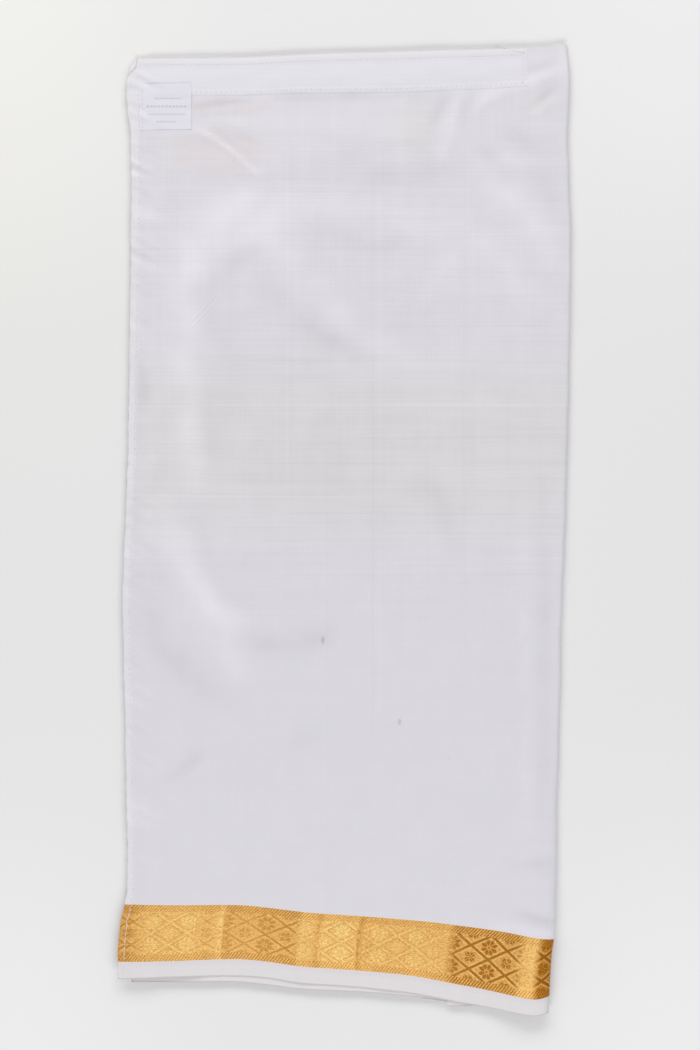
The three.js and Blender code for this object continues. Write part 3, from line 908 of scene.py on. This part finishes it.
# Dashes on the label: height, left and right ends, pitch and half height.
LABEL_ROWS = [
    (301.2, -133.0, -114.4, 1.9, 0.32),
    (295.6, -138.6, -110.6, 2.6, 0.62),
    (290.2, -137.6, -111.4, 1.6, 0.30),
    (285.0, -131.6, -118.0, 2.1, 0.42),
]


FLOOR = (0.855, 0.855, 0.858)
FLOOR_SHADE = (0.835, 0.835, 0.838)
FLOOR_WARM_LIGHT = (0.850, 0.848, 0.822)


def floor_material():
    """Pale table, with painted warm light at the upper left and painted brighter light towards the
    picture's corners.
    """
    paint = Paint("pale_table", 0.55, Specular_IOR_Level=0.2)
    x, y, _ = paint.spot()
    grain = paint.hills(x, y, 3, 3, 3, 1.0)
    colour = paint.blend(FLOOR, FLOOR_SHADE, grain + 0.5)
    # Painted warm light at the upper left.
    colour = paint.blend(colour, FLOOR_WARM_LIGHT, x.ease(-20, -260) * y.ease(-100, 250))
    # Painted light, paler towards the picture's corners.
    corner = x.size().ease(60, 240) * y.size().ease(100, 340)
    colour = paint.scale(colour, corner * 0.055 + 0.98)
    return paint.finish(colour, grain, 0.01)


# ---- the pieces

BACK_COLUMNS = 60
RUN_COLUMNS = 70        # the inner layers' run from the hem side to the main fold
RETURN_COLUMNS = 24     # and their run back to the short end
TURN_STEPS = 8          # faces round a fold of the inner layers

INNER_FOLD = 1.8        # reach of the rounded inner fold at the hem side
SHORT_END = 72.0        # x where the innermost layer ends
SHORT_END_DROP = 2.8    # how far its corner hangs out at the foot
RUN_FOOT = 1.3          # height at which the inner layers reach the main fold

# The stretches of cloth: name, the edges that it runs between, its rows, its look, and the node that
# it stands for.
FRONT = (
    ("cloth_field", "border_head", "waist", 262, "cotton", "front_panel"),
    ("zari_border", "border_foot", "border_head", 22, "zari", "front_border"),
    ("cloth_selvedge", "foot", "border_foot", 8, "selvedge", "front_selvedge"),
)
BACK = (
    ("back_field", "border_head", "waist_inside", 40, "cotton", "back_panel"),
    ("back_zari", "border_foot", "border_head", 8, "zari", "back_border"),
    ("back_edge", "under_foot", "border_foot", 4, "cotton", "back_selvedge"),
)
INNER = (
    ("inner_field", "border_head", "waist_inside", 90, "cotton", "inner_layers"),
    ("inner_border", "border_foot", "border_head", 10, "zari", None),
    ("inner_selvedge", "under_foot", "border_foot", 6, "selvedge", None),
)
TURNED_HEM = (
    ("hem_field", "border_head", "waist", 300, "hem", "side_hem"),
    ("hem_border", "border_foot", "border_head", 20, "zari", "border_hem"),
    ("hem_selvedge", "foot", "border_foot", 6, "selvedge", "selvedge_hem"),
)


def dress(piece, material, node=None):
    """Gives a piece its material and slot, and hides the imported part of the node that it stands for."""
    piece.data.materials.append(material)
    if node:
        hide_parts(node)


def make_stretches(materials, shape, thickness, stretches):
    """Sheets of the given shape, one for each stretch of cloth."""
    for name, low, high, rows, look, node in stretches:
        grid = shape(rows_between(low, high, rows))
        piece = shell(name, grid, thickness, border_heights(grid, low))
        dress(piece, materials[look], node)


def border_heights(grid, low):
    """How far up each point is: from the border's foot on the border, so that its figure keeps its
    size along it, from the loom's edge on the selvedge, and from the frame's origin on the field."""
    if low == "border_head":
        return grid[..., 1]
    height = BORDER_HEIGHT if low == "border_foot" else SELVEDGE_HEIGHT
    shares = np.linspace(0, 1, grid.shape[0])[:, None]
    return np.broadcast_to(shares * height, grid.shape[:2])


def back_grid(rows):
    """The back, flat on the table from the inner fold to the lap of the front."""
    start = rows.start + hem_side(rows.height_at(0.0), "inset") + INNER_FOLD
    x = rows.spread(start, rows.crest - UNDER_LAP, BACK_COLUMNS)
    return np.stack([x, rows.y_at(x), np.full_like(x, CLOTH)], -1)


def inner_grid(rows):
    """The layers inside: round the inner fold, across to the main fold, and back to the short end."""
    start = rows.start + hem_side(rows.height_at(0.0), "inset")
    top = stack_height(start, rows.height_at(0.0)) - 0.6 - CLOTH
    fold = np.pi * (1.5 - np.arange(0, TURN_STEPS + 1) / TURN_STEPS)
    fold_x = start + INNER_FOLD + INNER_FOLD * np.cos(fold)
    fold_z = mix(CLOTH + 0.02, top, (np.sin(fold) + 1) / 2)

    run_x = rows.spread(start + INNER_FOLD, rows.crest, RUN_COLUMNS)[:, 1:]
    share = (run_x - start) / (rows.crest - start)
    loose = 0.3 * smooth_noise(run_x, rows.y_at(run_x), 60, 90, 31) * np.sin(np.pi * share)
    under_front = front_height(run_x, rows.y_at(run_x)) - CLOTH - 0.5
    run_z = np.minimum(mix(top, RUN_FOOT, ease(0.55, 1, share)) + loose, under_front)

    high = front_height(rows.crest, rows.y_at(rows.crest)) - 1.3
    turn = np.pi * (-0.5 + np.arange(1, TURN_STEPS + 1) / TURN_STEPS)
    turn_x = rows.crest + (rows.roll - 1.2) * np.cos(turn)
    turn_z = mix(RUN_FOOT, high, (np.sin(turn) + 1) / 2)

    return_x = rows.spread(rows.crest, SHORT_END, RETURN_COLUMNS)[:, 1:]
    share = (rows.crest - return_x) / (rows.crest - SHORT_END)
    under_front = front_height(return_x, rows.y_at(return_x)) - 1.1
    return_z = mix(high, np.minimum(under_front, STACK - 1.4), ease(0, 0.6, share))

    x = np.concatenate([fold_x, run_x, turn_x, return_x], axis=1)
    y = rows.y_at(x)
    z = np.concatenate([fold_z, run_z, turn_z, return_z], axis=1)
    hang_short_end(x[:, -RETURN_COLUMNS - 1:], y[:, -RETURN_COLUMNS - 1:])
    return np.stack([x, y, z], -1)


def hang_short_end(x, y):
    """Lowers the short end's corner, so that it shows at the foot."""
    from_foot = y - edge("under_foot", across_at(x, y))
    y -= SHORT_END_DROP * ease(SHORT_END + 26, SHORT_END, x) * ease(18, 0, from_foot)


def tape_depth(across):
    return read(TAPE_DEPTHS, "across", np.clip(across, 0, 0.9), "depth")


def tape_share(x, y):
    """How far down the tape a point is: 0 at its head and 1 at its foot."""
    across = across_at(x, y)
    return (edge("waist", across) - TAPE_INSET - y) / (tape_depth(across) - TAPE_INSET)


TAPE_SEAMS = (0.17, 0.91)   # the rows of stitches, by how far down the tape they run
TAPE_LIE = 0.08             # height of the tape's edges above the cloth
TAPE_WIDTH = 27             # its depth, for the width of what is pressed into it


def tape_lift(x, y):
    """Height of the tape's face above the cloth, pressed down along its seams."""
    down = tape_share(x, y)
    seams = sum(bell((down - seam) * TAPE_WIDTH, 1.1) for seam in TAPE_SEAMS)
    seams = seams + bell(x - TAPE_END + 1.8, 1.1)
    pressed = 1 - 0.22 * np.clip(seams, 0, 1)
    soft = 0.12 * smooth_noise(x, y, 26, 14, 41)
    rounded = ease(0, 0.035, down) * ease(1, 0.965, down) * ease(TAPE_END, TAPE_END - 0.8, x)
    stitched = bell((down - TAPE_SEAMS[1]) * TAPE_WIDTH, 2.4)
    ripple = 0.10 * np.sin(x * 2 * math.pi / STITCH_PITCH) * stitched
    return TAPE_LIE + ((TRIM - TAPE_LIE) * pressed + soft + ripple) * rounded


def tape_rows(share):
    """Rows along the tape: share is 0 at its head and 1 at its foot."""
    return Rows(lambda across: edge("waist", across) - mix(TAPE_INSET, tape_depth(across), share))


def make_tape(materials):
    share = np.linspace(1, 0, 31)[:, None]
    rows = tape_rows(share)
    x = rows.spread(rows.start + 2.2, TAPE_END, 250)
    y = rows.y_at(x)
    grid = np.stack([x, y, front_height(x, y) + tape_lift(x, y)], -1)
    down = np.broadcast_to(share * TAPE_DEPTHS["depth"][0], grid.shape[:2])
    dress(shell("waist_tape", grid, TRIM * 0.6, down), materials["tape"], "waistband")


HEM_STEPS = 7           # faces round the free edge
HEM_ROUND = {"x": 0.3, "z": -0.16, "half_width": 0.6, "half_height": 0.62}


def hem_grid(rows):
    """The turned hem: up round the free edge and flat over the cloth to its stitched side."""
    y0 = rows.height_at(0.0)
    width = hem_side(y0, "hem")
    under_x = 1.9 - 0.6 * np.arange(3)
    angle = np.pi * (-0.5 + np.arange(0, HEM_STEPS + 1) / HEM_STEPS)
    round_x = HEM_ROUND["x"] - HEM_ROUND["half_width"] * np.cos(angle)
    round_z = HEM_ROUND["z"] + HEM_ROUND["half_height"] * np.sin(angle)
    flat_x = rows.spread(np.full_like(width, 0.9), width, 8)
    pressed = 0.22 * bell(flat_x - width + 1.1, 0.8)
    edge_down = 0.3 * ease(width - 0.5, width, flat_x)
    flat_z = 0.45 - pressed - edge_down + 0.08 * np.sin(y0 * 1.9)
    steady = np.ones_like(width)
    x = rows.start + np.concatenate([under_x * steady, round_x * steady, flat_x], axis=1)
    lift = np.concatenate([(-0.78 + 0 * under_x) * steady, round_z * steady, flat_z], axis=1)
    y = rows.y_at(x)
    return np.stack([x, y, front_height(np.maximum(x, rows.start), y) + lift], -1)


def label_lift(x, y):
    """The label lies on the cloth, climbs onto the tape, and curls a little at its free edges."""
    on_tape = ease(0.12, -0.05, tape_share(x, y) - 1) * ease(-150, -146, x)
    curl_up = 0.25 * ease(LABEL["head"] - 5, LABEL["head"], y)
    curl_right = 0.12 * ease(LABEL["right"] - 7, LABEL["right"], x)
    bow = 0.15 * np.sin(np.pi * (y - LABEL["foot"]) / (LABEL["head"] - LABEL["foot"]))
    tucked = ease(LABEL["left"], LABEL["left"] + 4, x)
    lifted = (on_tape * TRIM + curl_up + curl_right + bow) * tucked
    return 0.24 + lifted + 0.08 * smooth_noise(x, y, 14, 12, 51)


def make_label(materials):
    y_steps, x_steps = 34, 38
    y, x = np.meshgrid(
        np.linspace(LABEL["foot"], LABEL["head"], y_steps + 1),
        np.linspace(LABEL["left"], LABEL["right"], x_steps + 1),
        indexing="ij",
    )
    slant = (x - LABEL["left"]) * 0.012
    grid = np.stack([x, y + slant, front_height(x, y) + label_lift(x, y)], -1)
    dress(shell("size_tag", grid, 0.22), materials["label"], "size_label")


# ---- stitches and thread ends

def thread_tubes(lines, radius, sides=6):
    """Points and faces of round threads along lines that have the same number of points."""
    lines = np.asarray(lines, float)
    count, steps, _ = lines.shape
    ahead = np.gradient(lines, axis=1)
    ahead /= np.linalg.norm(ahead, axis=2, keepdims=True)
    side = np.cross(ahead, [0.0, 0.0, 1.0])
    side /= np.maximum(np.linalg.norm(side, axis=2, keepdims=True), 1e-6)
    up = np.cross(side, ahead)
    angle = (np.arange(sides) * 2 * math.pi / sides)[:, None]
    taper = np.full(steps, radius)
    taper[[0, -1]] *= 0.55
    ring = side[:, :, None] * np.cos(angle) + up[:, :, None] * np.sin(angle)
    points = (lines[:, :, None] + ring * taper[:, None, None]).reshape(-1, 3)
    faces = []
    for thread in range(count):
        first = thread * steps * sides
        last = first + (steps - 1) * sides
        for here in range(first, last, sides):
            for turn in range(sides):
                after = (turn + 1) % sides
                faces.append((here + turn, here + sides + turn, here + sides + after, here + after))
        faces.append(tuple(range(first, first + sides)))
        faces.append(tuple(range(last + sides - 1, last - 1, -1)))
    return points, faces


def join_threads(name, tubes, material):
    """One piece from several sets of threads."""
    points, faces, start = [], [], 0
    for tube_points, tube_faces in tubes:
        points.append(tube_points)
        faces.extend(tuple(start + index for index in face) for face in tube_faces)
        start += len(tube_points)
    dress(make_piece(name, np.concatenate(points), faces), material)


def stitch_row(path, pitch, share, radius, height_at, seed):
    """Stitches along a path, each bowed a little over the cloth, uneven as sewn ones are."""
    path = np.asarray(path, float)
    runs = np.concatenate([[0], np.cumsum(np.linalg.norm(np.diff(path, axis=0), axis=1))])
    rng = np.random.default_rng(seed)
    count = int(runs[-1] / pitch)
    begin = (np.arange(count) + 0.1 + rng.uniform(-0.05, 0.05, count)) * pitch
    length = pitch * (share + rng.uniform(-0.06, 0.06, count))
    along = begin[:, None] + length[:, None] * np.linspace(0, 1, 5)
    x = np.interp(along, runs, path[:, 0]) + rng.uniform(-0.08, 0.08, (count, 1))
    y = np.interp(along, runs, path[:, 1]) + rng.uniform(-0.08, 0.08, (count, 1))
    bow = radius * (0.9 * np.sin(np.linspace(0, math.pi, 5)) - 0.15)
    return thread_tubes(np.stack([x, y, height_at(x, y) + bow], -1), radius)


def on_tape(x, y):
    return front_height(x, y) + tape_lift(x, y)


def on_hem(x, y):
    return front_height(x, y) + 0.3


def on_label(x, y):
    return front_height(x, y) + label_lift(x, y)


def tape_seam(share):
    rows = tape_rows(share)
    x = np.linspace(rows.start + 9, TAPE_END - 1.8, 160)
    return np.stack([x, rows.y_at(x)], -1)


def make_tape_stitches(thread):
    """Two long rows, and two short ones across the tape's end."""
    tubes = [
        stitch_row(tape_seam(share), STITCH_PITCH, 0.66, 0.15, on_tape, 60 + index)
        for index, share in enumerate(TAPE_SEAMS)
    ]
    head, foot = tape_seam(TAPE_SEAMS[0])[-1], tape_seam(TAPE_SEAMS[1])[-1]
    for shift in (0.0, -1.3):
        end_line = np.linspace(head + [shift, 0], foot + [shift, 0], 30)
        tubes.append(stitch_row(end_line, 2.6, 0.72, 0.15, on_tape, 64))
    join_threads("tape_stitches", tubes, thread)


def make_edge_stitches(thread):
    """One row down the hem, one down the border's hem and one down the label."""
    hem_y = np.linspace(-261, 322, 420)
    hem_path = np.stack([hem_side(hem_y, "x") + hem_side(hem_y, "hem") - 1.1, hem_y], -1)
    gold_y = np.linspace(-312, -263.5, 60)
    gold_path = np.stack([hem_side(gold_y, "x") + 4.1, gold_y], -1)
    label_path = [(LABEL["left"] + 2.2, y) for y in np.linspace(LABEL["foot"] + 1, LABEL["head"] - 1, 12)]
    # The path, pitch, share of the pitch that a stitch covers, radius, surface and seed of each row.
    rows = {
        "hem_stitches": (hem_path, 3.6, 0.62, 0.2, on_hem, 70),
        "border_stitches": (gold_path, 3.4, 0.86, 0.24, on_hem, 71),
        "label_stitches": (label_path, 3.2, 0.6, 0.22, on_label, 72),
    }
    for name, row in rows.items():
        join_threads(name, [stitch_row(*row)], thread)


# Loose ends of reddish thread: stations of each, with height above the cloth.
THREAD_ENDS = [
    [(113.5, 336.4, 0.3), (111.4, 337.7, 0.6), (108.8, 338.6, -0.8), (106.0, 339.4, -2.2)],
    [(126.8, 333.6, 0.45), (121.0, 334.6, 0.45), (115.6, 336.0, 0.4)],
    [(124.6, 313.8, 0.55), (125.0, 313.0, 0.65), (125.4, 312.2, 0.55)],
    [(-144.4, 331.0, 0.4), (-145.8, 327.0, 0.8), (-146.4, 322.6, 0.6)],
    [(-145.4, 324.4, 0.8), (-149.0, 320.8, 0.7), (-151.4, 317.4, 0.3)],
]


def make_thread_ends(red_thread):
    tubes = []
    for stations in THREAD_ENDS:
        flat = np.array(rounded_line([station[:2] for station in stations], 5))
        along = np.linspace(0, len(stations) - 1, len(flat))
        lifts = np.interp(along, range(len(stations)), [station[2] for station in stations])
        z = front_height(flat[:, 0], flat[:, 1]) + lifts
        tubes.append(thread_tubes([np.column_stack([flat, z])], 0.14))
    join_threads("thread_ends", tubes, red_thread)


# ---- table, lights and camera

CAMERA_HEIGHT = 1.5
VIEW_HEIGHT = 0.735     # the stretch of the table that the picture shows, along Y
VIEW_CENTRE = (0.0040, 0.0028)
SENSOR_MM = 36
TABLE_SIZE = 24
TABLE_GAP = 0.0001      # the table lies this far below the cloth
ROOM_LIGHT = 0.41
# Soft boxes: place in metres, length and width, power in watts, and colour.
SOFT_BOXES = {
    "softbox_waist": ((-0.2, 1.7, 1.15), (2.8, 0.8), 28.7, (1.0, 0.99, 0.975)),
    "softbox_foot": ((0.1, -1.7, 1.15), (2.8, 0.8), 24.9, (0.985, 0.99, 1.0)),
}


def make_stage():
    bpy.ops.mesh.primitive_plane_add(size=TABLE_SIZE, location=(0, 0, -TABLE_GAP))
    floor = bpy.context.object
    floor.name = "table"
    floor.data.materials.append(floor_material())


def add_light(name, place, size, power, colour):
    light = bpy.data.lights.new(name, "AREA")
    light.shape = "RECTANGLE"
    light.size, light.size_y = size
    light.energy, light.color = power, colour
    lamp = bpy.data.objects.new(name, light)
    lamp.location = place
    aim = -lamp.location
    lamp.rotation_euler = aim.to_track_quat("-Z", "Y").to_euler()
    bpy.context.scene.collection.objects.link(lamp)


def make_lights():
    """A soft box at the waist, a weaker one at the foot, and soft light from the room."""
    for name, box in SOFT_BOXES.items():
        add_light(name, *box)
    world = bpy.data.worlds.new("studio")
    world.use_nodes = True
    background = world.node_tree.nodes["Background"]
    background.inputs["Color"].default_value = (0.985, 0.985, 1.0, 1)
    background.inputs["Strength"].default_value = ROOM_LIGHT
    bpy.context.scene.world = world


def make_camera():
    camera = bpy.data.objects.new("camera", bpy.data.cameras.new("camera"))
    camera.data.sensor_width = SENSOR_MM
    camera.data.lens = SENSOR_MM * (CAMERA_HEIGHT - STACK * MM) / VIEW_HEIGHT
    camera.location = (*VIEW_CENTRE, CAMERA_HEIGHT)
    bpy.context.scene.collection.objects.link(camera)
    bpy.context.scene.camera = camera


# ---- materials and the whole scene


def make_materials():
    return {
        "cotton": cotton_material("cotton", COTTON, COTTON_WARM, COTTON_PINK),
        "hem": cotton_material("cotton_hem", HEM, HEM, HEM),
        "selvedge": cotton_material("cotton_selvedge", SELVEDGE, SELVEDGE, SELVEDGE),
        "tape": tape_material(),
        "zari": zari_material(),
        "label": label_material(),
        "thread": thread_material("white_thread", THREAD),
        "red_thread": thread_material("red_thread", RED_THREAD),
    }


def main():
    materials = make_materials()
    make_camera()
    make_stretches(materials, front_grid, CLOTH, FRONT)
    make_stretches(materials, back_grid, CLOTH, BACK)
    make_stretches(materials, inner_grid, -CLOTH, INNER)
    make_tape(materials)
    make_stretches(materials, hem_grid, HEM_THICKNESS, TURNED_HEM)
    make_label(materials)
    make_tape_stitches(materials["thread"])
    make_edge_stitches(materials["thread"])
    make_thread_ends(materials["red_thread"])
    make_stage()
    make_lights()
    bpy.context.scene.view_settings.view_transform = "Standard"


main()
bpy.context.view_layer.update()
